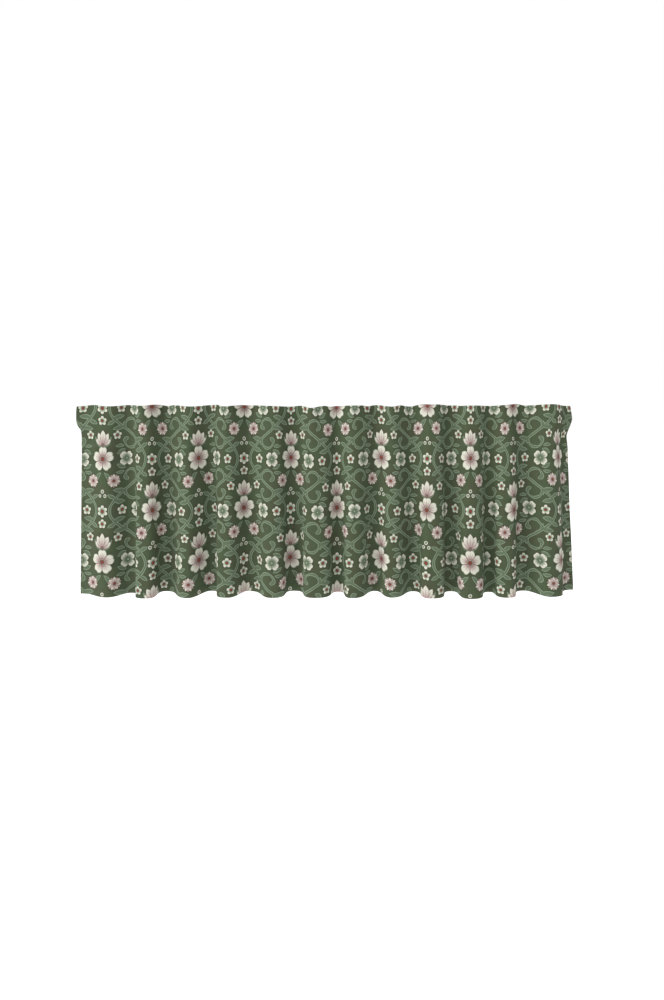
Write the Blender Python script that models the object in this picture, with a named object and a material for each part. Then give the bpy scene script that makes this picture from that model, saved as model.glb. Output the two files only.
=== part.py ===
"""Gathered window valance: one printed cotton panel, hanging from its top edge in twelve uneven folds.

Metres, +Z up. The origin is the middle of the top edge. The cloth hangs down from there, +X runs along
the window to the viewer's right, and the folds stand out towards the viewer at -Y.
"""
from typing import NamedTuple

import bpy

# Driving dimensions
DROP = 0.500             # length of the panel, from its top edge to its hem
CLOTH_THICKNESS = 0.002  # solid thickness of the cloth with its hems
STEPS_PER_TURN = 8       # faces between one crest and the next trough
EDGE_REACH = 0.085       # how far into the panel its side edges are drawn in or spread out

# Finish
GROUND_GREEN = (0.085, 0.125, 0.062, 1.0)
COTTON_ROUGHNESS = 0.9


class Turn(NamedTuple):
    """A crest or a trough of the folds, seen from above at the hem."""

    x: float       # place along the window
    stand: float   # how far it stands out towards the viewer
    before: float  # how broad the turn is on its left
    after: float   # how broad it is on its right
    rise: float    # how far the top edge stands above or below level here


class Section(NamedTuple):
    """A level line across the panel."""

    drop: float    # distance below the top edge
    depth: float   # share of the full fold depth
    left: float    # how far the left edge lies inside its place at the hem
    right: float   # the same for the right edge


# From the left edge to the right edge. Where before and after nearly fill the space between two turns
# twice, the wall between them is steep, and the fold hangs like a box.
TURNS = (
    Turn(x=-0.650, stand=-0.006, before=0.000, after=0.038, rise=-0.004),
    Turn(x=-0.571, stand=0.017, before=0.033, after=0.027, rise=-0.002),
    Turn(x=-0.517, stand=-0.010, before=0.021, after=0.041, rise=0.001),
    Turn(x=-0.467, stand=0.023, before=0.058, after=0.037, rise=0.002),
    Turn(x=-0.427, stand=-0.020, before=0.031, after=0.040, rise=-0.004),
    Turn(x=-0.358, stand=0.021, before=0.043, after=0.022, rise=-0.002),
    Turn(x=-0.307, stand=-0.022, before=0.019, after=0.041, rise=0.001),
    Turn(x=-0.256, stand=0.019, before=0.055, after=0.027, rise=0.003),
    Turn(x=-0.207, stand=-0.021, before=0.017, after=0.045, rise=-0.002),
    Turn(x=-0.138, stand=0.020, before=0.037, after=0.050, rise=0.001),
    Turn(x=-0.084, stand=-0.022, before=0.037, after=0.046, rise=-0.003),
    Turn(x=-0.026, stand=0.020, before=0.052, after=0.056, rise=-0.006),
    Turn(x=0.035, stand=-0.016, before=0.029, after=0.029, rise=-0.002),
    Turn(x=0.071, stand=0.021, before=0.032, after=0.043, rise=0.002),
    Turn(x=0.134, stand=-0.021, before=0.027, after=0.022, rise=0.000),
    Turn(x=0.176, stand=0.018, before=0.028, after=0.035, rise=0.000),
    Turn(x=0.236, stand=-0.019, before=0.025, after=0.033, rise=-0.003),
    Turn(x=0.279, stand=0.023, before=0.044, after=0.058, rise=0.004),
    Turn(x=0.338, stand=-0.019, before=0.039, after=0.029, rise=-0.003),
    Turn(x=0.380, stand=0.026, before=0.039, after=0.056, rise=0.003),
    Turn(x=0.439, stand=-0.015, before=0.035, after=0.024, rise=-0.001),
    Turn(x=0.479, stand=0.019, before=0.045, after=0.042, rise=0.002),
    Turn(x=0.535, stand=-0.023, before=0.044, after=0.023, rise=0.000),
    Turn(x=0.591, stand=0.014, before=0.022, after=0.066, rise=0.006),
    Turn(x=0.670, stand=-0.029, before=0.058, after=0.000, rise=-0.002),
)

# The heading spreads above the gathering line, 82 mm down, and the folds open out from there to the hem.
SECTIONS = (
    Section(drop=0.000, depth=0.64, left=-0.010, right=0.013),
    Section(drop=0.018, depth=0.65, left=-0.011, right=0.010),
    Section(drop=0.034, depth=0.65, left=-0.011, right=0.008),
    Section(drop=0.050, depth=0.64, left=-0.007, right=0.012),
    Section(drop=0.064, depth=0.62, left=0.002, right=0.018),
    Section(drop=0.082, depth=0.62, left=0.004, right=0.023),
    Section(drop=0.112, depth=0.68, left=0.004, right=0.019),
    Section(drop=0.180, depth=0.79, left=0.003, right=0.015),
    Section(drop=0.270, depth=0.89, left=0.002, right=0.011),
    Section(drop=0.380, depth=0.96, left=0.001, right=0.005),
    Section(drop=DROP, depth=1.00, left=0.000, right=0.000),
)


def clear_scene():
    """Remove every object, so that the script can run again in the same file."""
    for old in list(bpy.data.objects):
        bpy.data.objects.remove(old, do_unlink=True)


def bezier(start, start_handle, end_handle, end, share):
    """One coordinate of a cubic curve, at a share of its way."""
    rest = 1.0 - share
    return (
        rest**3 * start
        + 3.0 * rest**2 * share * start_handle
        + 3.0 * rest * share**2 * end_handle
        + share**3 * end
    )


def ease(share):
    """A share that starts and ends level."""
    return share * share * (3.0 - 2.0 * share)


def fold_points():
    """The folds at the hem, as (x, stand, rise) from the left edge to the right edge."""
    points = []
    for first, second in zip(TURNS, TURNS[1:]):
        for step in range(STEPS_PER_TURN):
            share = step / STEPS_PER_TURN
            x = bezier(first.x, first.x + first.after, second.x - second.before, second.x, share)
            stand = bezier(first.stand, first.stand, second.stand, second.stand, share)
            rise = first.rise + (second.rise - first.rise) * ease(share)
            points.append((x, stand, rise))
    points.append((TURNS[-1].x, TURNS[-1].stand, TURNS[-1].rise))
    return points


def edge_shift(x, section):
    """How far a point moves inwards because the side edges are drawn in or spread out here."""
    from_left = min((x - TURNS[0].x) / EDGE_REACH, 1.0)
    from_right = min((TURNS[-1].x - x) / EDGE_REACH, 1.0)
    return section.left * (1.0 - ease(from_left)) - section.right * (1.0 - ease(from_right))


def valance_mesh():
    """The middle surface of the cloth, one row of points for each section."""
    folds = fold_points()
    vertices = []
    for section in SECTIONS:
        rise_left = 1.0 - section.drop / DROP
        for x, stand, rise in folds:
            vertices.append((
                x + edge_shift(x, section),
                -stand * section.depth,
                rise * rise_left - section.drop,
            ))
    columns = len(folds)
    faces = []
    for row in range(len(SECTIONS) - 1):
        for column in range(columns - 1):
            upper = row * columns + column
            lower = upper + columns
            faces.append((upper, lower, lower + 1, upper + 1))
    mesh = bpy.data.meshes.new("valance_panel")
    mesh.from_pydata(vertices, [], faces)
    mesh.validate()
    mesh.shade_smooth()
    return mesh


def cotton_material():
    """Printed cotton, in its ground colour."""
    material = bpy.data.materials.new("printed_cotton")
    material.use_nodes = True
    shader = material.node_tree.nodes["Principled BSDF"]
    shader.inputs["Base Color"].default_value = GROUND_GREEN
    shader.inputs["Roughness"].default_value = COTTON_ROUGHNESS
    shader.inputs["Metallic"].default_value = 0.0
    return material


def valance_panel():
    """The whole valance: one sheet of cloth, with its hems and heading in one piece with it."""
    panel = bpy.data.objects.new("valance_panel", valance_mesh())
    bpy.context.scene.collection.objects.link(panel)
    panel.data.materials.append(cotton_material())
    wall = panel.modifiers.new("cloth_thickness", "SOLIDIFY")
    wall.thickness = CLOTH_THICKNESS
    wall.offset = 0.0
    wall.use_even_offset = True
    return panel


clear_scene()
valance_panel()
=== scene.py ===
"""Gathered window valance: the looks of the printed cotton panel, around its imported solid.

Metres, +Z up, +X along the window to the viewer's right. The middle of the top edge is at the origin, and
the folds stand out towards the viewer at -Y. The cloth's own map gives a place on the flat panel in metres:
across from its left edge, and up from its hem.
"""

import math
from typing import NamedTuple

import bpy
import numpy as np
from bpy.props import FloatProperty, FloatVectorProperty, IntProperty, PointerProperty
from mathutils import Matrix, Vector


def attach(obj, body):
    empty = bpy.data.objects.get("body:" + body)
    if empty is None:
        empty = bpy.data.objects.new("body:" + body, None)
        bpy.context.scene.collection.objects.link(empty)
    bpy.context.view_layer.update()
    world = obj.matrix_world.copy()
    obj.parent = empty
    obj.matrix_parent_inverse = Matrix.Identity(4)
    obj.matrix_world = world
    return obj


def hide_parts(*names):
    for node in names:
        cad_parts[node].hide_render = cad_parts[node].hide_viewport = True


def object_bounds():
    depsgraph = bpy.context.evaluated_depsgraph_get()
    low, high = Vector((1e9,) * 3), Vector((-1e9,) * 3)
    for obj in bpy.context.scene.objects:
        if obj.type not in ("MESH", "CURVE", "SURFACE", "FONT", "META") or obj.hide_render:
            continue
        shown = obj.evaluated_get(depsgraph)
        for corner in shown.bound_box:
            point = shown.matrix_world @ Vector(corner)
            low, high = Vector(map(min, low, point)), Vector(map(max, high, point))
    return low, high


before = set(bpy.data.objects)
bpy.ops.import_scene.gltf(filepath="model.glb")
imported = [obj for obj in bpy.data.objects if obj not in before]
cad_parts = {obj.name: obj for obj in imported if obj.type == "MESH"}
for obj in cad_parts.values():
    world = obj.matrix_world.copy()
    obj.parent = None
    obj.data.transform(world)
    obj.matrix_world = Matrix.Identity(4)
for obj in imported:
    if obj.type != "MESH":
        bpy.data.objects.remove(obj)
SOLID_LOW, SOLID_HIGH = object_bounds()

bl_info = {
    "name": "Gathered window valance",
    "version": (1, 0, 0),
    "blender": (4, 5, 0),
    "location": "View3D > Sidebar > Valance",
    "description": "Hangs a printed cotton valance in its folds, and sets its floor, lights and camera",
    "category": "Object",
}

MAP_NAME = "cloth_map"
PICTURE_MAP = "OFBake"
FULL_TURN = 2.0 * math.pi
WHITE = (1.0, 1.0, 1.0)


# The folds

EDGE_REACH = 0.085          # how far into the panel its side edges are drawn in or spread out
HEADING_SPREAD = 0.055      # how far the heading's folds are evened out over their neighbours
HEADING_REACH = 0.220       # where that ends
CLOSER_ROWS = 0.45          # how much closer the rows lie at the top than at the hem
RIPPLE_REACH = 0.075        # how far down the top edge's ripples run
RIPPLE_SLANT = 1.5          # how far a ripple leans back for each length that it rises
SHARP_ANGLE = math.radians(50.0)

# The square that the second map lays the cloth out on, for pictures of it
FRONT_STRIP = 0.38          # share of it that each half of the front takes
STRIP_GAP = 0.006           # space round each strip
RIM_WIDTH = 0.0022          # width of a folded edge there, in the cloth's metres


class Turn(NamedTuple):
    """A crest or a trough of the folds, seen from above at the hem."""

    x: float       # place along the window
    stand: float   # how far it stands out towards the viewer
    before: float  # how broad the turn is on its left
    after: float   # how broad it is on its right
    rise: float    # how far the top edge stands above or below level here


class Section(NamedTuple):
    """A level line across the panel."""

    drop: float    # distance below the top edge
    depth: float   # share of the full fold depth
    left: float    # how far the left edge lies inside its place at the hem
    right: float   # the same for the right edge


class Pucker(NamedTuple):
    """A small soft ridge or dent that runs up and down the cloth near its gathering line."""

    across: float  # place on the flat panel
    width: float   # half its width
    lift: float    # how far it stands out, or lies in if negative
    drop: float    # where it is strongest, below the top edge
    reach: float   # how far it runs up and down from there


class Ripple(NamedTuple):
    """A high or a low place of the fine ripples along the top edge."""

    x: float     # place along the window
    rise: float  # how far it stands above or below the line from fold to fold


TURNS = (
    Turn(x=-0.650, stand=-0.006, before=0.000, after=0.038, rise=-0.004),
    Turn(x=-0.571, stand=0.017, before=0.033, after=0.027, rise=-0.002),
    Turn(x=-0.517, stand=-0.010, before=0.021, after=0.041, rise=0.001),
    Turn(x=-0.467, stand=0.023, before=0.058, after=0.037, rise=0.002),
    Turn(x=-0.427, stand=-0.020, before=0.031, after=0.040, rise=-0.004),
    Turn(x=-0.358, stand=0.021, before=0.043, after=0.022, rise=-0.002),
    Turn(x=-0.307, stand=-0.022, before=0.019, after=0.041, rise=0.001),
    Turn(x=-0.256, stand=0.019, before=0.055, after=0.027, rise=0.003),
    Turn(x=-0.207, stand=-0.021, before=0.017, after=0.045, rise=-0.002),
    Turn(x=-0.138, stand=0.020, before=0.037, after=0.050, rise=0.001),
    Turn(x=-0.084, stand=-0.022, before=0.037, after=0.046, rise=-0.003),
    Turn(x=-0.026, stand=0.020, before=0.052, after=0.056, rise=-0.006),
    Turn(x=0.035, stand=-0.016, before=0.029, after=0.029, rise=-0.002),
    Turn(x=0.071, stand=0.021, before=0.032, after=0.043, rise=0.002),
    Turn(x=0.134, stand=-0.021, before=0.027, after=0.022, rise=0.000),
    Turn(x=0.176, stand=0.018, before=0.028, after=0.035, rise=0.000),
    Turn(x=0.236, stand=-0.019, before=0.025, after=0.033, rise=-0.003),
    Turn(x=0.279, stand=0.023, before=0.044, after=0.058, rise=0.004),
    Turn(x=0.338, stand=-0.019, before=0.039, after=0.029, rise=-0.003),
    Turn(x=0.380, stand=0.026, before=0.039, after=0.056, rise=0.003),
    Turn(x=0.439, stand=-0.015, before=0.035, after=0.024, rise=-0.001),
    Turn(x=0.479, stand=0.019, before=0.045, after=0.042, rise=0.002),
    Turn(x=0.535, stand=-0.023, before=0.044, after=0.023, rise=0.000),
    Turn(x=0.591, stand=0.014, before=0.022, after=0.066, rise=0.006),
    Turn(x=0.670, stand=-0.029, before=0.058, after=0.000, rise=-0.002),
)

SECTIONS = (
    Section(drop=0.000, depth=0.64, left=-0.010, right=0.013),
    Section(drop=0.018, depth=0.65, left=-0.011, right=0.010),
    Section(drop=0.034, depth=0.65, left=-0.011, right=0.008),
    Section(drop=0.050, depth=0.64, left=-0.007, right=0.012),
    Section(drop=0.064, depth=0.62, left=0.002, right=0.018),
    Section(drop=0.082, depth=0.62, left=0.004, right=0.023),
    Section(drop=0.112, depth=0.68, left=0.004, right=0.019),
    Section(drop=0.180, depth=0.79, left=0.003, right=0.015),
    Section(drop=0.270, depth=0.89, left=0.002, right=0.011),
    Section(drop=0.380, depth=0.96, left=0.001, right=0.005),
    Section(drop=0.500, depth=1.00, left=0.000, right=0.000),
)

PUCKERS = (
    Pucker(across=0.040, width=0.011, lift=0.0018, drop=0.070, reach=0.045),
    Pucker(across=0.118, width=0.010, lift=-0.0016, drop=0.078, reach=0.050),
    Pucker(across=0.205, width=0.009, lift=0.0014, drop=0.040, reach=0.050),
    Pucker(across=0.268, width=0.012, lift=0.0016, drop=0.085, reach=0.060),
    Pucker(across=0.342, width=0.009, lift=-0.0018, drop=0.060, reach=0.045),
    Pucker(across=0.431, width=0.010, lift=0.0015, drop=0.082, reach=0.055),
    Pucker(across=0.522, width=0.011, lift=-0.0015, drop=0.075, reach=0.050),
    Pucker(across=0.588, width=0.009, lift=0.0017, drop=0.050, reach=0.050),
    Pucker(across=0.690, width=0.012, lift=0.0016, drop=0.085, reach=0.055),
    Pucker(across=0.764, width=0.010, lift=-0.0018, drop=0.070, reach=0.045),
    Pucker(across=0.853, width=0.011, lift=0.0019, drop=0.030, reach=0.060),
    Pucker(across=0.927, width=0.009, lift=-0.0014, drop=0.080, reach=0.050),
    Pucker(across=1.004, width=0.012, lift=0.0016, drop=0.078, reach=0.060),
    Pucker(across=1.083, width=0.010, lift=-0.0017, drop=0.062, reach=0.045),
    Pucker(across=1.170, width=0.009, lift=0.0015, drop=0.084, reach=0.050),
    Pucker(across=1.262, width=0.011, lift=0.0016, drop=0.045, reach=0.055),
    Pucker(across=1.345, width=0.010, lift=-0.0016, drop=0.080, reach=0.050),
    Pucker(across=1.428, width=0.012, lift=0.0017, drop=0.072, reach=0.055),
    Pucker(across=1.502, width=0.009, lift=-0.0015, drop=0.055, reach=0.045),
    Pucker(across=1.596, width=0.011, lift=0.0018, drop=0.082, reach=0.060),
    Pucker(across=1.684, width=0.012, lift=-0.0016, drop=0.074, reach=0.050),
    Pucker(across=1.745, width=0.010, lift=0.0020, drop=0.060, reach=0.050),
)

RIPPLES = (
    Ripple(x=-0.650, rise=0.0005),
    Ripple(x=-0.605, rise=0.0040),
    Ripple(x=-0.585, rise=0.0015),
    Ripple(x=-0.480, rise=-0.0010),
    Ripple(x=-0.440, rise=0.0030),
    Ripple(x=-0.420, rise=0.0010),
    Ripple(x=-0.405, rise=0.0030),
    Ripple(x=-0.310, rise=-0.0015),
    Ripple(x=-0.290, rise=0.0000),
    Ripple(x=-0.265, rise=-0.0035),
    Ripple(x=-0.215, rise=0.0010),
    Ripple(x=-0.095, rise=-0.0015),
    Ripple(x=-0.055, rise=0.0020),
    Ripple(x=-0.040, rise=0.0005),
    Ripple(x=-0.005, rise=0.0050),
    Ripple(x=0.020, rise=-0.0005),
    Ripple(x=0.095, rise=-0.0005),
    Ripple(x=0.115, rise=-0.0025),
    Ripple(x=0.140, rise=0.0000),
    Ripple(x=0.175, rise=-0.0015),
    Ripple(x=0.200, rise=0.0015),
    Ripple(x=0.225, rise=-0.0010),
    Ripple(x=0.255, rise=0.0025),
    Ripple(x=0.275, rise=0.0005),
    Ripple(x=0.345, rise=0.0015),
    Ripple(x=0.360, rise=-0.0010),
    Ripple(x=0.440, rise=-0.0010),
    Ripple(x=0.510, rise=0.0025),
    Ripple(x=0.535, rise=-0.0015),
    Ripple(x=0.670, rise=-0.0010),
)


class ValanceCloth(bpy.types.PropertyGroup):
    """Sizes of the cloth panel."""

    drop: FloatProperty(
        name="Drop", description="Length from the top edge to the hem", default=0.5, unit="LENGTH")
    layer: FloatProperty(
        name="Layer", description="Thickness of one layer of cloth", default=0.0006, unit="LENGTH")
    hem: FloatProperty(
        name="Hem", description="Height of the bottom hem", default=0.030, unit="LENGTH")
    side_hem: FloatProperty(
        name="Side hem", description="Width of the side hems", default=0.016, unit="LENGTH")
    heading: FloatProperty(
        name="Heading", description="Cloth turned over to the back at the top", default=0.104,
        unit="LENGTH")
    thread_pitch: FloatProperty(
        name="Thread pitch", description="Distance between two threads", default=0.00055, unit="LENGTH")
    stitch: FloatProperty(
        name="Stitch", description="Length of a stitch with its gap", default=0.0038, unit="LENGTH")
    columns: IntProperty(name="Columns", description="Faces across the panel", default=610)
    rows: IntProperty(name="Rows", description="Faces down the panel", default=66)


def ease(share):
    """A share from 0 to 1 that starts and ends level."""
    share = np.clip(share, 0.0, 1.0)
    return share * share * (3.0 - 2.0 * share)


def bezier(start, start_handle, end_handle, end, share):
    """One coordinate of a cubic curve, at a share of its way."""
    rest = 1.0 - share
    return (
        rest**3 * start
        + 3.0 * rest**2 * share * start_handle
        + 3.0 * rest * share**2 * end_handle
        + share**3 * end
    )


def fold_line(fine_steps=200):
    """The folds at the hem: places along the flat cloth, and x, stand and rise there."""
    share = np.arange(fine_steps) / fine_steps
    x, stand, rise = [], [], []
    for first, second in zip(TURNS, TURNS[1:]):
        x.append(bezier(first.x, first.x + first.after, second.x - second.before, second.x, share))
        stand.append(bezier(first.stand, first.stand, second.stand, second.stand, share))
        rise.append(first.rise + (second.rise - first.rise) * ease(share))
    last = TURNS[-1]
    x = np.append(np.concatenate(x), last.x)
    stand = np.append(np.concatenate(stand), last.stand)
    rise = np.append(np.concatenate(rise), last.rise)
    steps = np.hypot(np.diff(x), np.diff(stand))
    across = np.append(0.0, np.cumsum(steps))
    return across, x, stand, rise


FOLD_LINE = fold_line()
FLAT_WIDTH = float(FOLD_LINE[0][-1])


def smooth_through(knots, values, at):
    """A smooth curve through a few values, without overshoot at their turning points."""
    knots, values = np.array(knots), np.array(values)
    step = np.diff(knots)
    slope = np.diff(values) / step
    before, after = slope[:-1], slope[1:]
    same_way = before * after > 0.0
    inner = np.where(same_way, 2.0 * before * after / np.where(same_way, before + after, 1.0), 0.0)
    tangent = np.concatenate(([slope[0]], inner, [slope[-1]]))
    piece = np.clip(np.searchsorted(knots, at) - 1, 0, len(step) - 1)
    share = (at - knots[piece]) / step[piece]
    low, high = values[piece], values[piece + 1]
    low_pull, high_pull = tangent[piece] * step[piece], tangent[piece + 1] * step[piece]
    return (
        low * (1.0 + 2.0 * share) * (1.0 - share) ** 2
        + low_pull * share * (1.0 - share) ** 2
        + high * share**2 * (3.0 - 2.0 * share)
        - high_pull * share**2 * (1.0 - share)
    )


def with_hem_lines(even, hem_lines, gap):
    """Evenly spread places with the hem lines among them, and none closer to a hem line than the gap."""
    far = np.abs(even[:, None] - np.array(hem_lines)[None, :]).min(axis=1) > gap
    far[[0, -1]] = True
    return np.sort(np.concatenate((even[far], hem_lines)))


def cloth_places(sizes):
    """Where the rows and columns lie on the flat cloth, with a close pair at each edge of a hem."""
    side, step = sizes.side_hem, sizes.layer
    across = with_hem_lines(
        np.linspace(0.0, FLAT_WIDTH, sizes.columns + 1),
        (side, side + step, FLAT_WIDTH - side - step, FLAT_WIDTH - side), 2.0 * step)
    share = np.linspace(0.0, 1.0, sizes.rows + 1)
    bottom = sizes.drop - sizes.hem
    drop = with_hem_lines(
        sizes.drop * share * (1.0 - CLOSER_ROWS + CLOSER_ROWS * share),
        (sizes.heading, sizes.heading + step, bottom - step, bottom), 2.0 * step)
    return across, drop


def heading_line():
    """Where the columns lie in the heading: the folds' places, evened out over their neighbours."""
    fold_across, fold_x = FOLD_LINE[:2]
    step = FLAT_WIDTH / len(fold_x)
    reach = int(HEADING_REACH / step)
    even = np.arange(-reach, len(fold_x) + reach + 1) * step
    inside = np.clip(even, 0.0, FLAT_WIDTH)
    mirrored = 2.0 * inside - even
    x = 2.0 * np.interp(inside, fold_across, fold_x) - np.interp(mirrored, fold_across, fold_x)
    weights = np.exp(-0.5 * (np.arange(-reach, reach + 1) * step / HEADING_SPREAD) ** 2)
    return even[reach:-reach], np.convolve(x, weights / weights.sum(), "valid")


def middle_surface(sizes, across, drop):
    """Points of the cloth's middle surface, a row for each drop and a column for each place across."""
    fold_across, fold_x, fold_stand, fold_rise = FOLD_LINE
    hem_x = np.interp(across, fold_across, fold_x)[None, :]
    top_x = np.interp(across, *heading_line())[None, :]
    closed = ease(drop / sizes.drop)[:, None]
    x = top_x + (hem_x - top_x) * closed
    stand = np.interp(across, fold_across, fold_stand)[None, :]
    rise = np.interp(across, fold_across, fold_rise)[None, :]
    knots = [section.drop for section in SECTIONS]
    depth, left, right = (
        smooth_through(knots, [getattr(section, name) for section in SECTIONS], drop)[:, None]
        for name in ("depth", "left", "right")
    )
    from_left = 1.0 - ease((x - TURNS[0].x) / EDGE_REACH)
    from_right = 1.0 - ease((TURNS[-1].x - x) / EDGE_REACH)
    level = 1.0 - drop[:, None] / sizes.drop
    ripple = smooth_through(*zip(*RIPPLES), top_x) * np.exp(-((drop / RIPPLE_REACH) ** 2))[:, None]
    points = np.empty((len(drop), len(across), 3))
    points[:, :, 0] = x + left * from_left - right * from_right
    points[:, :, 1] = ripple * RIPPLE_SLANT - stand * depth
    points[:, :, 2] = rise * level - drop[:, None] + ripple
    return points


def surface_normals(points):
    """Unit normals of a grid of points, towards the face side of the cloth."""
    along = np.gradient(points, axis=1)
    down = np.gradient(points, axis=0)
    normals = np.cross(down, along)
    return normals / np.linalg.norm(normals, axis=2, keepdims=True)


def add_puckers(points, across, drop):
    """Lifts the small soft ridges near the gathering line out of the cloth."""
    normals = surface_normals(points)
    lift = np.zeros(points.shape[:2])
    for pucker in PUCKERS:
        beside = np.exp(-(((across - pucker.across) / pucker.width) ** 2))[None, :]
        beyond = np.exp(-(((drop - pucker.drop) / pucker.reach) ** 2))[:, None]
        lift += pucker.lift * beside * beyond
    return points + normals * lift[:, :, None]


def layer_count(sizes, across, drop):
    """How many layers of cloth lie on each other at each point: the hems and the heading are turned over."""
    side = (across <= sizes.side_hem) | (across >= FLAT_WIDTH - sizes.side_hem)
    turned = (drop <= sizes.heading) | (drop >= sizes.drop - sizes.hem)
    return 1.0 + side[None, :].astype(float) + turned[:, None].astype(float)


class Corners(NamedTuple):
    """The faces of one side of the cloth, four corners each, and what they show."""

    faces: np.ndarray    # the points of each face's corners
    sheet: np.ndarray    # where each corner lies on the flat sheet
    places: np.ndarray   # where it lies on the printed cloth, which runs on round the turned edges
    printed: np.ndarray  # whether the face shows the printed side
    front: bool          # whether the faces lie on the side that the viewer sees


def grid_faces(rows, columns):
    """The corner points of each face of a grid, counted row by row, down and then across."""
    corner = np.arange((rows - 1) * columns).reshape(rows - 1, columns)[:, :-1].ravel()
    return np.stack((corner, corner + columns, corner + columns + 1, corner + 1), axis=1)


def face_side(across, drop, sizes):
    """The side of the cloth that the viewer sees, all of it printed."""
    faces = grid_faces(len(drop), len(across))
    flat_x, flat_y = np.meshgrid(across, sizes.drop - drop)
    sheet = np.stack((flat_x.ravel()[faces], flat_y.ravel()[faces]), axis=2)
    return Corners(faces, sheet, sheet, np.ones(len(faces), bool), True)


def back_side(across, drop, sizes, first_point):
    """The other side. Its hems and heading are turned over, so they show the print as it runs on there."""
    faces = grid_faces(len(drop), len(across))[:, ::-1]
    flat_x, flat_y = np.meshgrid(across, sizes.drop - drop)
    x, y = flat_x.ravel()[faces], flat_y.ravel()[faces]
    sheet = np.stack((x, y), axis=2)
    middle_x, middle_y = x.mean(axis=1), y.mean(axis=1)
    left = middle_x < sizes.side_hem
    right = middle_x > FLAT_WIDTH - sizes.side_hem
    bottom = middle_y < sizes.hem
    top = middle_y > sizes.drop - sizes.heading
    x = np.where(left[:, None], -x, np.where(right[:, None], 2.0 * FLAT_WIDTH - x, x))
    y = np.where(bottom[:, None], -y, np.where(top[:, None], 2.0 * sizes.drop - y, y))
    return Corners(faces + first_point, sheet, np.stack((x, y), axis=2), left | right | bottom | top, False)


def rim_loop(rows, columns):
    """The grid's border points in order: down the left side, along the hem, up, and back along the top."""
    grid = np.arange(rows * columns).reshape(rows, columns)
    return np.concatenate((grid[:-1, 0], grid[-1, :-1], grid[:0:-1, -1], grid[0, :0:-1]))


def rim_sides(points, back_points, across, drop, sizes):
    """The folded edges: points pushed out between the two sides, and the faces that join them to each."""
    rows, columns = len(drop), len(across)
    loop = rim_loop(rows, columns)
    row, column = np.divmod(loop, columns)
    inner_row = np.clip(row, 1, rows - 2)
    inner_column = np.clip(column, 1, columns - 2)
    outwards = points[row, column] - points[inner_row, inner_column]
    outwards /= np.linalg.norm(outwards, axis=1, keepdims=True)
    front, back = points[row, column], back_points[row, column]
    thickness = np.linalg.norm(front - back, axis=1, keepdims=True)
    bulge = 0.5 * (front + back) + outwards * thickness * 0.5
    count = rows * columns
    middle = 2 * count + np.arange(len(loop))
    after, middle_after = np.roll(loop, -1), np.roll(middle, -1)
    flat = np.stack((across[column], sizes.drop - drop[row]), axis=1)
    outer = flat + np.stack((column - inner_column, inner_row - row), axis=1) * RIM_WIDTH
    flat_after, outer_after = np.roll(flat, -1, axis=0), np.roll(outer, -1, axis=0)
    places = np.stack((flat, flat, flat_after, flat_after), axis=1)
    printed = np.ones(len(loop), bool)
    return bulge, (
        Corners(np.stack((loop, middle, middle_after, after), axis=1),
                np.stack((flat, outer, outer_after, flat_after), axis=1), places, printed, True),
        Corners(np.stack((middle, loop + count, after + count, middle_after), axis=1),
                np.stack((outer, flat, flat_after, outer_after), axis=1), places, printed, False),
    )


def picture_places(side, sizes):
    """Where corners lie on the square, with the front laid out in two strips and the back in one."""
    x = side.sheet[:, :, 0] / FLAT_WIDTH
    y = side.sheet[:, :, 1] / sizes.drop
    low, high = 0.0, 1.0 - 2.0 * FRONT_STRIP
    if side.front:
        second = (x.mean(axis=1) > 0.5)[:, None]
        x = 2.0 * x - second
        low, high = high + FRONT_STRIP * second, FRONT_STRIP
    else:
        x = 1.0 - x
    x = STRIP_GAP + x * (1.0 - 2.0 * STRIP_GAP)
    y = low + STRIP_GAP + y * (high - 2.0 * STRIP_GAP)
    return np.stack((x, y), axis=2)


def cloth_mesh(sizes):
    """The whole sheet as one closed mesh, with the flat cloth's places as its map."""
    across, drop = cloth_places(sizes)
    middle = add_puckers(middle_surface(sizes, across, drop), across, drop)
    normals = surface_normals(middle)
    layers = layer_count(sizes, across, drop)[:, :, None]
    front = middle + normals * 0.5 * sizes.layer
    back = middle - normals * (layers - 0.5) * sizes.layer
    bulge, rims = rim_sides(front, back, across, drop, sizes)
    count = front.shape[0] * front.shape[1]
    sides = (face_side(across, drop, sizes), back_side(across, drop, sizes, count), *rims)
    points = np.concatenate((front.reshape(-1, 3), back.reshape(-1, 3), bulge))
    mesh = bpy.data.meshes.new("valance_cloth")
    mesh.from_pydata(points.tolist(), [], np.concatenate([side.faces for side in sides]).tolist())
    printed = np.concatenate([side.printed for side in sides])
    mesh.polygons.foreach_set("material_index", np.where(printed, 0, 1).astype(np.int32))
    laid_out = [picture_places(side, sizes) for side in sides]
    for name, maps in ((MAP_NAME, [side.places for side in sides]), (PICTURE_MAP, laid_out)):
        mesh.uv_layers.new(name=name).uv.foreach_set("vector", np.concatenate(maps).ravel())
    mesh.shade_smooth()
    mesh.set_sharp_from_angle(angle=SHARP_ANGLE)
    mesh.update()
    return mesh


# Shader maths

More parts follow.
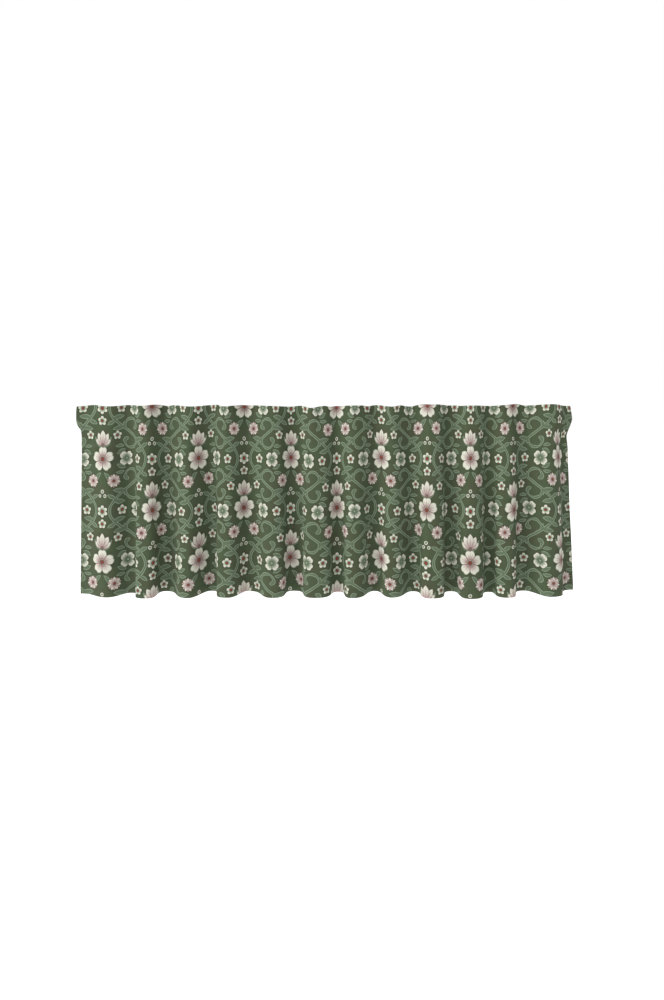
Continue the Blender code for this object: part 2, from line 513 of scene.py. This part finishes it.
class Value:
    """A number that changes over the cloth. An expression on it adds the Math nodes that work it out."""

    def __init__(self, nodes, socket):
        self.nodes = nodes
        self.socket = socket

    def math(self, operation, *others):
        return self.nodes.math(operation, self, *others)

    def __add__(self, other):
        return self.math("ADD", other)

    __radd__ = __add__

    def __sub__(self, other):
        return self.math("SUBTRACT", other)

    def __rsub__(self, other):
        return self.nodes.math("SUBTRACT", other, self)

    def __mul__(self, other):
        return self.math("MULTIPLY", other)

    __rmul__ = __mul__

    def __abs__(self):
        return self.math("ABSOLUTE")

    def lower(self, other):
        return self.math("MINIMUM", other)

    def higher(self, other):
        return self.math("MAXIMUM", other)

    def wrap(self, low, high):
        return self.math("WRAP", high, low)

    def between(self, low, high):
        """0 at low, 1 at high, smooth in between."""
        ramp = {"Value": self, "From Min": low, "From Max": high}
        node = self.nodes.add("ShaderNodeMapRange", {"interpolation_type": "SMOOTHSTEP"}, ramp)
        return Value(self.nodes, node.outputs["Result"])

    def mask(self, soft):
        """1 where this is below zero, 0 where it is above, with an edge this soft."""
        return self.between(soft, -soft)


class Nodes:
    """The node tree of a material, or of the light from all round."""

    def __init__(self, owner):
        owner.use_nodes = True
        self.tree = owner.node_tree
        self.tree.nodes.clear()

    def fill(self, socket, content):
        """Sets what a socket holds, or links it."""
        if isinstance(content, Value):
            content = content.socket
        if isinstance(content, bpy.types.NodeSocket):
            self.tree.links.new(content, socket)
        elif socket.type == "RGBA":
            socket.default_value = (*content, 1.0)
        else:
            socket.default_value = content

    def add(self, kind, settings=None, inputs=None):
        """A new node of this kind: first its settings, then a value or a link for each of its sockets."""
        node = self.tree.nodes.new(kind)
        for name, setting in (settings or {}).items():
            setattr(node, name, setting)
        for name, content in (inputs or {}).items():
            self.fill(node.inputs[name], content)
        return node

    def math(self, operation, *terms):
        node = self.add("ShaderNodeMath", {"operation": operation}, dict(enumerate(terms)))
        return Value(self, node.outputs[0])

    def vector(self, operation, first, second):
        node = self.add("ShaderNodeVectorMath", {"operation": operation}, {0: first, 1: second})
        return node.outputs[0]

    def scale(self, vector, factor):
        """A vector made longer or shorter, or a colour made lighter or darker."""
        node = self.add("ShaderNodeVectorMath", {"operation": "SCALE"}, {0: vector, "Scale": factor})
        return node.outputs[0]

    def split(self, vector):
        """The first two numbers of a vector: a place's way across and its way up."""
        node = self.add("ShaderNodeSeparateXYZ", None, {0: vector})
        return Value(self, node.outputs[0]), Value(self, node.outputs[1])

    def noise(self, place, scale, detail=2.0, roughness=0.5):
        inputs = {"Vector": place, "Scale": scale, "Detail": detail, "Roughness": roughness}
        return self.add("ShaderNodeTexNoise", {"noise_dimensions": "2D"}, inputs)

    def blend(self, below, above, mask):
        """One colour over another where the mask is 1."""
        node = self.add("ShaderNodeMix", {"data_type": "RGBA"}, {0: mask, 6: below, 7: above})
        return node.outputs[2]

    def shadow(self, colour, field, reach, depth):
        """A colour made darker in a shape and round it."""
        return self.scale(colour, 1.0 - field.mask(reach) * depth)


# The print: an ogee trellis of stems in half drop, mirrored left and right. A cell lies between two stems.
# Places are in metres from the cell's middle, x to either side and y up.

FINE = 0.0003        # softness of the thinnest lines
CRISP = 0.0004       # softness of the edge of a stem, a leaf or a petal
CLEAR = 0.0005       # softness of a thin rib, a stamen or a small heart
SOFT = 0.0006        # softness of a broad line or a large heart
WOBBLE = 0.0022      # how far the hand that drew the print strays
STEM_WIDTH = 0.0036  # half the width of a stem
PALE_WIDTH = 0.0013  # width of the light outlines of stems, leaves and curls
RIB_WIDTH = 0.0004   # half the width of their dark ribs


class Leaf(NamedTuple):
    """A pointed leaf."""

    x: float       # its foot
    y: float
    angle: float   # where it points, in degrees from level
    length: float
    width: float   # half its width
    bend: float    # how far its tip leans to its left, as a share of its length


class Tendril(NamedTuple):
    """A curl that leaves a stem and winds round its own middle."""

    x: float       # the middle of the curl
    y: float
    start: float   # where it leaves the stem, in degrees round the middle
    hand: float    # 1 winds to the left, -1 to the right
    turns: float   # how many turns it makes
    reach: float   # distance from the middle at its start
    close: float   # how much nearer it is at its end


class Bloom(NamedTuple):
    """A flower seen from the front, or a berry."""

    x: float
    y: float
    radius: float


class Petal(NamedTuple):
    """A petal of the tulip, from its foot."""

    lean: float    # how far it leans out, in degrees
    length: float
    width: float   # half its width


# Leaves and curls stand above and below the cell's middle alike.
LEAVES = (
    Leaf(x=0.136, y=0.029, angle=204, length=0.033, width=0.0064, bend=-0.18),
    Leaf(x=0.063, y=0.082, angle=172, length=0.033, width=0.0064, bend=0.20),
    Leaf(x=0.036, y=0.105, angle=222, length=0.025, width=0.0054, bend=-0.18),
    Leaf(x=0.064, y=0.024, angle=192, length=0.026, width=0.0054, bend=0.20),
    Leaf(x=0.004, y=0.033, angle=36, length=0.034, width=0.0056, bend=0.26),
    Leaf(x=0.104, y=0.061, angle=262, length=0.024, width=0.0050, bend=0.20),
    Leaf(x=0.060, y=0.033, angle=162, length=0.023, width=0.0046, bend=0.24),
)
TENDRIL = Tendril(x=0.0765, y=0.0490, start=20, hand=-1, turns=0.72, reach=0.0285, close=0.0205)
WILD_ROSE = Bloom(x=0.0, y=0.002, radius=0.0315)
CORNEL = Bloom(x=0.067, y=0.0, radius=0.0205)
STAR_FLOWER = Bloom(x=0.032, y=-0.056, radius=0.0175)
SMALL_FLOWERS = (
    Bloom(x=0.0, y=0.102, radius=0.0120),
    Bloom(x=0.112, y=0.0, radius=0.0125),
    Bloom(x=0.042, y=0.064, radius=0.0115),
)
KNOT_RADIUS = 0.0155
BERRIES = (Bloom(x=0.0, y=-0.0830, radius=0.0050), Bloom(x=0.0078, y=-0.0945, radius=0.0046))
TULIP_FOOT = 0.036
TULIP_PETALS = (
    Petal(lean=54.0, length=0.029, width=0.0054),
    Petal(lean=27.0, length=0.037, width=0.0070),
    Petal(lean=0.0, length=0.041, width=0.0076),
)


class ValancePrint(bpy.types.PropertyGroup):
    """The repeat of the print and its colours."""

    repeat_width: FloatProperty(
        name="Repeat width", description="Width of the repeat", default=0.330, unit="LENGTH")
    repeat_height: FloatProperty(
        name="Repeat height", description="Height of the repeat", default=0.270, unit="LENGTH")
    sway: FloatProperty(
        name="Sway", description="How far a stem swings to each side", default=0.062, unit="LENGTH")
    shift: FloatProperty(
        name="Shift", description="How far the repeat is moved across", default=0.070, unit="LENGTH")
    lift: FloatProperty(
        name="Lift", description="How far the repeat is moved up", default=0.090, unit="LENGTH")
    ground: FloatVectorProperty(
        name="Ground", description="Dark green ground", subtype="COLOR", default=(0.0670, 0.0790, 0.0425))
    green_ground: FloatVectorProperty(
        name="Green ground", description="Greener patches of the ground", subtype="COLOR",
        default=(0.0568, 0.0812, 0.0411))
    shade: FloatVectorProperty(
        name="Shade", description="Deeper green round the stems", subtype="COLOR",
        default=(0.0390, 0.0650, 0.0335))
    sage: FloatVectorProperty(
        name="Sage", description="Stems, leaves and curls", subtype="COLOR", default=(0.108, 0.148, 0.092))
    pale_sage: FloatVectorProperty(
        name="Pale sage", description="Their light outlines", subtype="COLOR", default=(0.228, 0.288, 0.202))
    cream: FloatVectorProperty(
        name="Cream", description="Petals", subtype="COLOR", default=(0.588, 0.582, 0.492))
    mauve: FloatVectorProperty(
        name="Mauve", description="Foot of the petals", subtype="COLOR", default=(0.36, 0.25, 0.245))
    bark: FloatVectorProperty(
        name="Bark", description="Stalk, stamens and petal ribs", subtype="COLOR",
        default=(0.165, 0.115, 0.095))
    red: FloatVectorProperty(
        name="Red", description="Hearts of the flowers", subtype="COLOR", default=(0.215, 0.041, 0.037))
    reverse: FloatVectorProperty(
        name="Reverse", description="Back of the cloth", subtype="COLOR", default=(0.30, 0.33, 0.25))


def distance(x, y):
    """How far a place lies from the middle."""
    return (x * x + y * y).math("SQRT")


class Flower:
    """A point's place on a flower, told from the flower's middle and from its nearest petal."""

    def __init__(self, cell, x, y, radius, petals, first=90.0):
        half_petal = math.pi / petals
        angle = y.math("ARCTAN2", x) - math.radians(first)
        self.nodes = cell.nodes
        self.look = cell.look
        self.radius = radius
        self.spread = distance(x, y)
        self.arc = self.spread * half_petal
        # 0 along the middle of a petal, 1 between two of them
        self.share = abs(angle.wrap(-half_petal, half_petal)) * (1.0 / half_petal)

    def outside(self, rim):
        """How far the point lies outside an outline, given as a share of the radius."""
        return self.spread - rim * self.radius

    def notched(self):
        """How far it lies outside petals with a notch each."""
        return self.outside(self.share * (0.46 - self.share * 0.80) + 0.93)

    def fade(self, start, end):
        """0 at one share of the radius, 1 at another."""
        return self.spread.between(self.radius * start, self.radius * end)

    def ray(self, share, width, soft=SOFT):
        """1 on lines outwards, at this share of the way from a petal's middle to its side."""
        return (abs(self.share - share) * self.arc - width).mask(soft)

    def shadow(self, colour, reach, depth):
        return self.nodes.shadow(colour, self.outside(1.0), reach, depth)

    def petals(self, colour, field, foot, start, end):
        """Petals that turn from the colour of their foot to cream between two shares of the radius."""
        petal = self.nodes.blend(foot, self.look.cream, self.fade(start, end))
        return self.nodes.blend(colour, petal, field.mask(CRISP))

    def heart(self, colour, dark, bright, soft=SOFT):
        """A dark disc with a red one on it, given as shares of the radius."""
        colour = self.nodes.blend(colour, self.look.ground, self.outside(dark).mask(soft))
        return self.nodes.blend(colour, self.look.red, self.outside(bright).mask(soft))


class Cell:
    """A point's place in its cell of the trellis."""

    def __init__(self, nodes, look):
        self.nodes = nodes
        self.look = look
        self.flat = nodes.add("ShaderNodeUVMap", {"uv_map": MAP_NAME}).outputs["UV"]
        stray = nodes.noise(self.flat, scale=70.0, detail=1.0).outputs["Color"]
        stray = nodes.scale(nodes.vector("SUBTRACT", stray, (0.5, 0.5, 0.5)), WOBBLE)
        across, up = nodes.split(nodes.vector("ADD", self.flat, stray))
        half_width, half_height = look.repeat_width / 2.0, look.repeat_height / 2.0
        across = abs((across - look.shift).wrap(-half_width, half_width))
        up = (up - look.lift).wrap(-half_height, half_height)
        phase = up * (FULL_TURN / look.repeat_height)
        border = phase.math("COSINE") * look.sway + half_width / 2.0
        beyond = across.math("GREATER_THAN", border)
        lean = phase.math("SINE") * (look.sway * FULL_TURN / look.repeat_height)
        self.from_stem = abs(across - border) * (lean * lean + 1.0).math("INVERSE_SQRT")
        self.x = across + beyond * (half_width - across * 2.0)
        self.y = (up + beyond * half_height).wrap(-half_height, half_height)
        self.high = abs(self.y)

    def flower(self, bloom, petals, first=90.0):
        return Flower(self, self.x - bloom.x, self.y - bloom.y, bloom.radius, petals, first)


def leaf_field(cell, leaf):
    """How far a point lies outside the leaf's outline, and how far it is from the leaf's rib."""
    angle = math.radians(leaf.angle)
    along_x, along_y = math.cos(angle) / leaf.length, math.sin(angle) / leaf.length
    aside_x, aside_y = -math.sin(angle), math.cos(angle)
    along = cell.x * along_x + (cell.high * along_y - (leaf.x * along_x + leaf.y * along_y))
    aside = cell.x * aside_x + (cell.high * aside_y - (leaf.x * aside_x + leaf.y * aside_y))
    aside = abs(aside - along * along * (leaf.bend * leaf.length))
    belly = along * (1.0 - along) * (4.0 * leaf.width)
    past_rib = (abs(along - 0.45) - 0.36).higher(0.0) * leaf.length
    return aside - belly, aside + past_rib


def tendril_field(cell, tendril):
    """The same two measures for a curl, which thins out and ends in a bud."""
    x, y = cell.x - tendril.x, cell.high - tendril.y
    angle = y.math("ARCTAN2", x) - math.radians(tendril.start)
    share = (angle * tendril.hand).wrap(0.0, FULL_TURN) * (1.0 / (FULL_TURN * tendril.turns))
    aside = abs(distance(x, y) - (tendril.reach - share * tendril.close))
    stalk = 0.0042 - share * 0.0026
    bud = abs(share - 0.82).between(0.18, 0.02) * 0.0050
    lobes = (share * (FULL_TURN * 3.0)).math("COSINE") * 0.0007
    past_end = (share - 1.0).higher(0.0) * 0.08
    past_rib = (share - 0.90).higher(0.0) * 0.02
    return aside - stalk - bud - lobes + past_end, aside + past_rib


def paint_greenery(cell, colour):
    """Stems, leaves and curls, in sage with light outlines and dark ribs."""
    nodes, look = cell.nodes, cell.look
    outline, rib = cell.from_stem - STEM_WIDTH, cell.from_stem
    for field, middle in [leaf_field(cell, leaf) for leaf in LEAVES] + [tendril_field(cell, TENDRIL)]:
        outline, rib = outline.lower(field), rib.lower(middle)
    colour = nodes.blend(colour, look.shade, outline.mask(0.0085) * 0.45)
    colour = nodes.blend(colour, look.pale_sage, outline.mask(CRISP))
    colour = nodes.blend(colour, look.sage, (outline + PALE_WIDTH).mask(CRISP))
    return nodes.blend(colour, look.ground, (rib - RIB_WIDTH).mask(FINE) * 0.6)


def paint_berries(cell, colour):
    """Three cream berries in a bunch, each with a sage eye."""
    nodes, look = cell.nodes, cell.look
    for berry in BERRIES:
        outside = distance(cell.x - berry.x, cell.y - berry.y) - berry.radius
        colour = nodes.shadow(colour, outside, reach=0.004, depth=0.26)
        colour = nodes.blend(colour, look.cream, outside.mask(CRISP))
        colour = nodes.blend(colour, look.sage, (outside + berry.radius * 0.42).mask(CRISP))
    return colour


def paint_small_flower(flower, colour):
    """Round petals and a red heart."""
    field = flower.outside(1.0 - flower.share * flower.share * 0.40)
    colour = flower.shadow(colour, reach=0.007, depth=0.30)
    colour = flower.nodes.blend(colour, flower.look.ground, (field - 0.0012).mask(SOFT))
    colour = flower.petals(colour, field, flower.look.pale_sage, start=0.38, end=0.80)
    return flower.heart(colour, dark=0.36, bright=0.26, soft=CLEAR)


def paint_small_flowers(cell, colour):
    """One small flower between two stems where they come near each other, and then those of the cell."""
    look = cell.look
    beside = cell.high.math("LESS_THAN", look.repeat_height / 4.0)
    knot_x = cell.x + beside * (look.repeat_width / 2.0 - cell.x * 2.0)
    knot_y = cell.high.lower(look.repeat_height / 2.0 - cell.high)
    colour = paint_small_flower(Flower(cell, knot_x, knot_y, KNOT_RADIUS, petals=6), colour)
    for bloom in SMALL_FLOWERS:
        colour = paint_small_flower(cell.flower(bloom, petals=5), colour)
    return colour


def paint_cornel(cell, colour):
    """Four notched petals, cream at their rims and sage at their feet."""
    nodes, look = cell.nodes, cell.look
    cornel = cell.flower(CORNEL, petals=4, first=45.0)
    field = cornel.notched()
    colour = cornel.shadow(colour, reach=0.009, depth=0.28)
    colour = nodes.blend(colour, look.ground, (field - 0.0008).mask(CRISP))
    colour = cornel.petals(colour, field, look.sage, start=0.26, end=0.90)
    gap = cornel.ray(share=1.0, width=0.0010) * cornel.outside(0.70).mask(SOFT)
    vein = (abs(cornel.share - 0.32) * cornel.spread - 0.0008).mask(SOFT)
    colour = nodes.blend(colour, look.sage, gap.higher(vein * cornel.fade(0.95, 0.55) * 0.7))
    colour = nodes.blend(colour, look.ground, cornel.outside(0.22).mask(0.0008))
    return nodes.blend(colour, look.pale_sage, cornel.outside(0.14).mask(SOFT))


def paint_star_flower(cell, colour):
    """Two rings of seven pointed petals, cream over pink."""
    nodes, look = cell.nodes, cell.look
    star = cell.flower(STAR_FLOWER, petals=7)
    upper = star.outside(1.0 - star.share * 0.46)
    lower = star.outside(star.share * 0.40 + 0.60)
    colour = star.shadow(colour, reach=0.008, depth=0.28)
    colour = nodes.blend(colour, look.mauve, lower.mask(CRISP))
    colour = nodes.blend(colour, look.bark, (upper - 0.0009).mask(CRISP))
    colour = star.petals(colour, upper, look.mauve, start=0.25, end=0.85)
    rib = star.ray(share=0.0, width=0.0006, soft=CLEAR) * star.fade(0.90, 0.55)
    colour = nodes.blend(colour, look.bark, rib * 0.6)
    return star.heart(colour, dark=0.24, bright=0.155)


def paint_tulip(cell, colour):
    """A tulip in profile on a short stalk: pointed petals, mauve at their foot."""
    nodes, look = cell.nodes, cell.look
    x, y = cell.x, cell.y - TULIP_FOOT
    stalk = (x - 0.0010).higher(abs(y + 0.004) - 0.008)
    colour = nodes.shadow(colour, distance(x, y - 0.020) - 0.020, reach=0.012, depth=0.26)
    colour = nodes.blend(colour, look.bark, stalk.mask(CRISP))
    for lean, length, width in TULIP_PETALS:
        side, rise = math.sin(math.radians(lean)), math.cos(math.radians(lean))
        along = x * side + y * rise
        aside = abs(x * rise - y * side)
        reach = along * (2.0 / length) - 1.0
        field = aside - (1.0 - reach * reach) * (reach.higher(-1.0) * 0.35 + 1.0) * width
        colour = nodes.blend(colour, look.bark, (field - 0.0010).mask(CRISP))
        petal = nodes.blend(look.mauve, look.cream, along.between(length * 0.10, length * 0.86))
        colour = nodes.blend(colour, petal, field.mask(CRISP))
        rib = (aside - 0.0007).mask(CLEAR) * along.between(length * 0.90, length * 0.60) * 0.6
        colour = nodes.blend(colour, look.bark, rib * (field + 0.0008).mask(FINE))
    cup = distance(x, y - 0.003) - 0.0052
    return nodes.blend(colour, look.bark, cup.mask(SOFT))


def paint_wild_rose(cell, colour):
    """Five broad petals with a notch and a rib each, stamens, and a red heart."""
    nodes, look = cell.nodes, cell.look
    rose = cell.flower(WILD_ROSE, petals=5)
    field = rose.notched()
    colour = rose.shadow(colour, reach=0.010, depth=0.32)
    colour = nodes.blend(colour, look.pale_sage, (field - 0.0016).mask(CRISP))
    colour = nodes.blend(colour, look.ground, (field - 0.0007).mask(FINE))
    colour = rose.petals(colour, field, look.mauve, start=0.18, end=0.82)
    gap = rose.ray(share=1.0, width=0.0011) * rose.outside(0.70).mask(SOFT)
    rib = rose.ray(share=0.0, width=0.0008) * rose.fade(0.92, 0.60)
    vein = rose.ray(share=0.42, width=0.0007) * rose.fade(0.86, 0.55)
    colour = nodes.blend(colour, look.bark, (gap * 0.95).higher(rib * 0.60).higher(vein * 0.50))
    bead = (rose.share * 5.0).math("PINGPONG", 1.0).between(0.45, 0.75)
    stamens = bead * (abs(rose.outside(0.34)) - 0.0016).mask(CLEAR)
    colour = nodes.blend(colour, look.bark, stamens * 0.8)
    return rose.heart(colour, dark=0.20, bright=0.135)


def print_colour(nodes, look):
    """The whole print, from its mottled ground up, and the cloth's flat places under it."""
    cell = Cell(nodes, look)
    patches = Value(nodes, nodes.noise(cell.flat, scale=17.0, detail=3.0, roughness=0.6).outputs["Fac"])
    colour = nodes.blend(look.ground, look.green_ground, patches.between(0.30, 0.70))
    colour = nodes.scale(colour, patches * 0.20 + 0.90)
    for paint in (
        paint_greenery,
        paint_berries,
        paint_small_flowers,
        paint_cornel,
        paint_star_flower,
        paint_tulip,
        paint_wild_rose,
    ):
        colour = paint(cell, colour)
    return cell.flat, colour


# Materials

SLUB_STRETCH = (40.0, 900.0, 0.0)  # thicker threads are long across and thin up the cloth
STITCH_INSET = 0.002               # from the edge of a hem to its row of stitches
STITCH_WIDTH = 0.0004              # half a stitch's width
STITCH_SHARE = 0.37                # half a stitch's length, as a share of it with its gap
STITCH_EDGE = 0.0002               # softness of a stitch
COTTON_ROUGHNESS = 0.82
THREAD_ROUGHNESS = 0.06            # how much the threads change it


def weave(nodes, flat, sizes):
    """Height of the plain weave, over and under in turn along both threads, with thicker threads in it."""
    across, up = nodes.split(flat)
    count = math.pi / sizes.thread_pitch
    over = (across * count).math("SINE") * (up * count).math("SINE")
    slub = nodes.noise(nodes.vector("MULTIPLY", flat, SLUB_STRETCH), scale=1.0)
    return over * 0.5 + Value(nodes, slub.outputs["Fac"])


def stitch_row(along, beside, sizes):
    """1 on the stitches of a row, from the way along it and the distance beside it."""
    half = sizes.stitch * 0.5
    dash = (abs(along.wrap(-half, half)) - sizes.stitch * STITCH_SHARE).mask(STITCH_EDGE)
    return dash * (beside - STITCH_WIDTH).mask(STITCH_EDGE)


def stitching(nodes, flat, sizes):
    """1 on the stitches of the hems and of the heading."""
    across, up = nodes.split(flat)
    bottom, top = sizes.hem - STITCH_INSET, sizes.drop - sizes.heading + STITCH_INSET
    left = sizes.side_hem - STITCH_INSET
    level = abs(up - bottom).lower(abs(up - top))
    upright = abs(across - left).lower(abs(across - (FLAT_WIDTH - left)))
    return stitch_row(across, level, sizes).higher(stitch_row(up, upright, sizes))


def cotton(name, paint, sizes, look):
    """Matt cotton with its threads and stitches. paint turns the print into its colour and roughness."""
    material = bpy.data.materials.new(name)
    nodes = Nodes(material)
    flat, colour = print_colour(nodes, look)
    threads, stitches = weave(nodes, flat, sizes), stitching(nodes, flat, sizes)
    colour, roughness = paint(nodes, look, colour, threads, stitches)
    bump = nodes.add("ShaderNodeBump", None, {
        "Height": threads - stitches * 0.8, "Strength": 0.35, "Distance": sizes.thread_pitch * 0.4})
    shader = nodes.add("ShaderNodeBsdfPrincipled", None, {
        "Base Color": colour, "Roughness": roughness, "Normal": bump.outputs["Normal"],
        "Sheen Weight": 0.025, "Sheen Roughness": 0.5, "Specular IOR Level": 0.2})
    nodes.add("ShaderNodeOutputMaterial", None, {"Surface": shader.outputs["BSDF"]})
    return material


def paint_face(nodes, look, colour, threads, stitches):
    """The face of the cloth: the print at its full strength, with sage stitching."""
    # Partly painted shade: the colour is lighter on the weave's raised threads and darker in its dips; the
    # thicker threads' own tone shows in it too.
    colour = nodes.scale(colour, threads * 0.10 + 0.93)
    roughness = (threads - stitches * 0.3) * THREAD_ROUGHNESS + COTTON_ROUGHNESS
    return nodes.blend(colour, look.sage, stitches * 0.5), roughness


def paint_back(nodes, look, colour, threads, stitches):
    """The back of the cloth: pale where the dye hasn't gone through, with a faint mirrored print."""
    colour = nodes.blend(look.reverse, colour, threads * 0.10 + 0.24)
    roughness = threads * THREAD_ROUGHNESS + COTTON_ROUGHNESS
    return nodes.blend(colour, look.sage, stitches * 0.7), roughness


# Operators

class VALANCE_OT_cloth(bpy.types.Operator):
    """Make the gathered sheet of printed cotton with its hems and its heading"""

    bl_idname = "valance.cloth"
    bl_label = "Valance Cloth"

    def execute(self, context):
        sizes, look = context.scene.valance_cloth, context.scene.valance_print
        mesh = cloth_mesh(sizes)
        mesh.materials.append(cotton("printed_cotton", paint_face, sizes, look))
        mesh.materials.append(cotton("cotton_back", paint_back, sizes, look))
        cloth = bpy.data.objects.new("valance_cloth", mesh)
        context.scene.collection.objects.link(cloth)
        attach(cloth, "root")
        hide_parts("valance_panel")
        return {"FINISHED"}


class ValanceStage(bpy.types.PropertyGroup):
    """The floor, the lights and the camera."""

    floor_height: FloatProperty(
        name="Floor", description="Height of the floor below the heading", default=-2.05, unit="LENGTH")
    floor_size: FloatProperty(
        name="Floor size", description="Length of the floor's sides", default=60.0, unit="LENGTH")
    floor_colour: FloatVectorProperty(
        name="Floor colour", description="Pale floor", subtype="COLOR", default=(0.91, 0.91, 0.91))
    floor_glow: FloatProperty(
        name="Floor glow", description="Light of the floor itself, as on a lit table", default=0.40)
    key_place: FloatVectorProperty(
        name="Main light", description="Place of the large light", subtype="TRANSLATION",
        default=(-9.80, -5.70, 3.40))
    key_power: FloatProperty(
        name="Main light power", description="Power of the large light", default=915.0, unit="POWER")
    back_place: FloatVectorProperty(
        name="Back light", description="Place of the weak light behind", subtype="TRANSLATION",
        default=(6.80, 8.40, 3.20))
    back_power: FloatProperty(
        name="Back light power", description="Power of the weak light behind", default=340.0, unit="POWER")
    light_size: FloatProperty(
        name="Light size", description="Side of each large light", default=6.0, unit="LENGTH")
    room_light: FloatProperty(
        name="Room light", description="Brightness of the soft light from all round", default=0.665)
    camera_place: FloatVectorProperty(
        name="Camera", description="Place of the camera", subtype="TRANSLATION",
        default=(0.0185, -1.45, 0.16))
    lens: FloatProperty(
        name="Lens", description="Focal length of the camera in millimetres", default=19.7)
    shift: FloatProperty(
        name="Shift", description="How far the lens is moved up, as a share of the frame's height",
        default=-0.1547)


def white_room(stage, scene):
    """Soft light from all round, and plain white wherever nothing stands."""
    world = bpy.data.worlds.new("white_room")
    scene.world = world
    nodes = Nodes(world)
    seen = nodes.add("ShaderNodeLightPath").outputs["Is Camera Ray"]
    light = nodes.add("ShaderNodeBackground", None, {"Color": WHITE, "Strength": stage.room_light})
    plain = nodes.add("ShaderNodeBackground", None, {"Color": WHITE, "Strength": 1.0})
    room = nodes.add("ShaderNodeMixShader", None, {0: seen, 1: light.outputs[0], 2: plain.outputs[0]})
    nodes.add("ShaderNodeOutputWorld", None, {"Surface": room.outputs[0]})


def pale_floor(stage):
    """A wide level floor, nearly white."""
    bpy.ops.object.select_all(action="DESELECT")
    bpy.ops.mesh.primitive_plane_add(size=stage.floor_size, location=(0.0, 0.0, stage.floor_height))
    floor = bpy.context.active_object
    floor.name = "floor"
    material = bpy.data.materials.new("pale_floor")
    nodes = Nodes(material)
    shader = nodes.add("ShaderNodeBsdfPrincipled", None, {
        "Base Color": stage.floor_colour, "Roughness": 0.9,
        "Emission Color": WHITE, "Emission Strength": stage.floor_glow})
    nodes.add("ShaderNodeOutputMaterial", None, {"Surface": shader.outputs["BSDF"]})
    floor.data.materials.append(material)


def soft_light(name, place, power, size):
    """A large square light, aimed at the middle of the cloth."""
    lamp = bpy.data.lights.new(name, "AREA")
    lamp.energy = power
    lamp.size = size
    holder = bpy.data.objects.new(name, lamp)
    target = (Vector(SOLID_LOW) + Vector(SOLID_HIGH)) * 0.5
    holder.location = place
    holder.rotation_euler = (target - Vector(place)).to_track_quat("-Z", "Y").to_euler()
    bpy.context.scene.collection.objects.link(holder)


def level_camera(stage, scene):
    """A level camera a little above the heading, with its lens shifted down."""
    camera = bpy.data.cameras.new("camera")
    camera.lens = stage.lens
    camera.shift_y = stage.shift
    holder = bpy.data.objects.new("camera", camera)
    holder.location = stage.camera_place
    holder.rotation_euler = (math.radians(90.0), 0.0, 0.0)
    scene.collection.objects.link(holder)
    scene.camera = holder


class VALANCE_OT_stage(bpy.types.Operator):
    """Set up the pale floor, the soft light and the camera"""

    bl_idname = "valance.stage"
    bl_label = "Stage"

    def execute(self, context):
        scene, stage = context.scene, context.scene.valance_stage
        scene.view_settings.view_transform = "Standard"
        white_room(stage, scene)
        pale_floor(stage)
        soft_light("main_light", stage.key_place, stage.key_power, stage.light_size)
        soft_light("back_light", stage.back_place, stage.back_power, stage.light_size)
        level_camera(stage, scene)
        return {"FINISHED"}


class VALANCE_PT_panel(bpy.types.Panel):
    """The valance's operators and sizes."""

    bl_label = "Window Valance"
    bl_space_type = "VIEW_3D"
    bl_region_type = "UI"
    bl_category = "Valance"

    def draw(self, context):
        layout = self.layout
        for operator, holders in OPERATORS:
            layout.operator(operator)
            for holder in holders:
                settings = getattr(context.scene, holder)
                box = layout.box()
                for name in type(settings).__annotations__:
                    box.prop(settings, name)


CLASSES = (
    ValanceCloth,
    ValancePrint,
    ValanceStage,
    VALANCE_OT_cloth,
    VALANCE_OT_stage,
    VALANCE_PT_panel,
)
GROUPS = {
    "valance_cloth": ValanceCloth,
    "valance_print": ValancePrint,
    "valance_stage": ValanceStage,
}
OPERATORS = (
    ("valance.stage", ("valance_stage",)),
    ("valance.cloth", ("valance_cloth", "valance_print")),
)


def register():
    for kind in CLASSES:
        bpy.utils.register_class(kind)
    for name, kind in GROUPS.items():
        setattr(bpy.types.Scene, name, PointerProperty(type=kind))


def unregister():
    for name in GROUPS:
        delattr(bpy.types.Scene, name)
    for kind in reversed(CLASSES):
        bpy.utils.unregister_class(kind)


def main():
    register()
    bpy.ops.object.select_all(action="DESELECT")
    bpy.ops.valance.stage()
    bpy.ops.valance.cloth()


if __name__ == "__main__":
    main()
